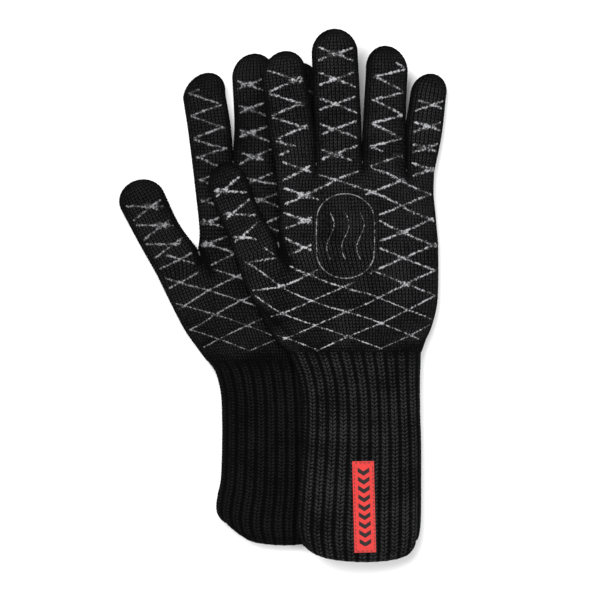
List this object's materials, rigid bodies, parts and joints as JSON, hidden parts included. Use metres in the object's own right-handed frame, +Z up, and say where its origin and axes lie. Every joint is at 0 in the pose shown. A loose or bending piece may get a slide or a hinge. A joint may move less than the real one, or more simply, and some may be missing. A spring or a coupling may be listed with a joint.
{
  "type": "heat resistant glove",
  "caption": "Pair of long-cuff knitted heat resistant gloves with a lining, silicone diamond grip lines, bending fingers and wrists, resting one over the other",
  "frame": {"origin": "the middle of the pair's outline, on the surface that the gloves lie on", "axes": "+Y towards the fingertips, +X from the thumbs towards the little fingers, +Z up, away from the surface they lie on"},
  "size_m": [0.21, 0.3442, 0.0331],
  "materials": {
    "knit": "near-black heat resistant yarn, stocking stitch, ribbed on the cuff",
    "lining": "dark grey brushed cotton knit",
    "silicone": "pale grey silicone, satin",
    "label": "red woven tape",
    "label_thread": "dark sewing thread"
  },
  "bodies": {
    "right_palm": {"right_palm_knit": "knit", "right_palm_lining": "lining", "right_palm_grip_back": "silicone", "right_palm_grip_front": "silicone", "right_emblem": "silicone"},
    "right_cuff": {"right_cuff_knit": "knit", "right_cuff_lining": "lining", "right_cuff_hem": "knit", "right_label": "label", "right_label_stitching": "label_thread"},
    "right_thumb": {"right_thumb_knit": "knit", "right_thumb_lining": "lining", "right_thumb_grip": "silicone"},
    "right_index": {"right_index_knit": "knit", "right_index_lining": "lining", "right_index_grip": "silicone"},
    "right_middle": {"right_middle_knit": "knit", "right_middle_lining": "lining", "right_middle_grip": "silicone"},
    "right_ring": {"right_ring_knit": "knit", "right_ring_lining": "lining", "right_ring_grip": "silicone"},
    "right_little": {"right_little_knit": "knit", "right_little_lining": "lining", "right_little_grip": "silicone"},
    "left_palm": {"left_palm_knit": "knit", "left_palm_lining": "lining", "left_palm_grip_back": "silicone", "left_palm_grip_front": "silicone", "left_emblem": "silicone"},
    "left_cuff": {"left_cuff_knit": "knit", "left_cuff_lining": "lining", "left_cuff_hem": "knit", "left_label": "label", "left_label_stitching": "label_thread"},
    "left_thumb": {"left_thumb_knit": "knit", "left_thumb_lining": "lining", "left_thumb_grip": "silicone"},
    "left_index": {"left_index_knit": "knit", "left_index_lining": "lining", "left_index_grip": "silicone"},
    "left_middle": {"left_middle_knit": "knit", "left_middle_lining": "lining", "left_middle_grip": "silicone"},
    "left_ring": {"left_ring_knit": "knit", "left_ring_lining": "lining", "left_ring_grip": "silicone"},
    "left_little": {"left_little_knit": "knit", "left_little_lining": "lining", "left_little_grip": "silicone"}
  },
  "joints": [
    {"name": "right_wrist", "type": "hinge", "parent": "right_palm", "child": "right_cuff", "pos_m": [-0.0005, -0.0562, 0.0005], "axis": [1, 0, 0], "range_deg": [0, 45]},
    {"name": "right_thumb_bend", "type": "hinge", "parent": "right_palm", "child": "right_thumb", "pos_m": [-0.069, 0.021, 0.00075], "axis": [-0.8739, -0.4862, 0], "range_deg": [0, 55]},
    {"name": "right_index_bend", "type": "hinge", "parent": "right_palm", "child": "right_index", "pos_m": [-0.0455, 0.088, 0.00075], "axis": [-0.9936, -0.1132, 0], "range_deg": [0, 80]},
    {"name": "right_middle_bend", "type": "hinge", "parent": "right_palm", "child": "right_middle", "pos_m": [-0.0174, 0.088, 0.00075], "axis": [-0.9998, -0.0214, 0], "range_deg": [0, 80]},
    {"name": "right_ring_bend", "type": "hinge", "parent": "right_palm", "child": "right_ring", "pos_m": [0.0096, 0.087, 0.00075], "axis": [-0.9993, 0.0369, 0], "range_deg": [0, 80]},
    {"name": "right_little_bend", "type": "hinge", "parent": "right_palm", "child": "right_little", "pos_m": [0.0334, 0.084, 0.00075], "axis": [-0.9969, 0.0785, 0], "range_deg": [0, 80]},
    {"name": "left_lift", "type": "slide", "parent": "right_palm", "child": "left_palm", "axis": [0, 0, 1], "range_m": [0, 0.12]},
    {"name": "left_wrist", "type": "hinge", "parent": "left_palm", "child": "left_cuff", "pos_m": [0.02, -0.0522, 0.0348], "axis": [-0.9823, 0, 0.1874], "range_deg": [0, 45]},
    {"name": "left_thumb_bend", "type": "hinge", "parent": "left_palm", "child": "left_thumb", "pos_m": [-0.015, 0.029, 0.03205], "axis": [0.9066, 0.422, 0], "range_deg": [0, 55]},
    {"name": "left_index_bend", "type": "hinge", "parent": "left_palm", "child": "left_index", "pos_m": [0.0093, 0.087, 0.03205], "axis": [0.9887, 0.1496, 0], "range_deg": [0, 80]},
    {"name": "left_middle_bend", "type": "hinge", "parent": "left_palm", "child": "left_middle", "pos_m": [0.03812, 0.0885, 0.03155], "axis": [0.994, 0.0462, -0.0988], "range_deg": [0, 80]},
    {"name": "left_ring_bend", "type": "hinge", "parent": "left_palm", "child": "left_ring", "pos_m": [0.06676, 0.088, 0.02503], "axis": [0.9577, -0.0491, -0.2837], "range_deg": [0, 80]},
    {"name": "left_little_bend", "type": "hinge", "parent": "left_palm", "child": "left_little", "pos_m": [0.09106, 0.0865, 0.01783], "axis": [0.9525, -0.1145, -0.2821], "range_deg": [0, 80]}
  ]
}
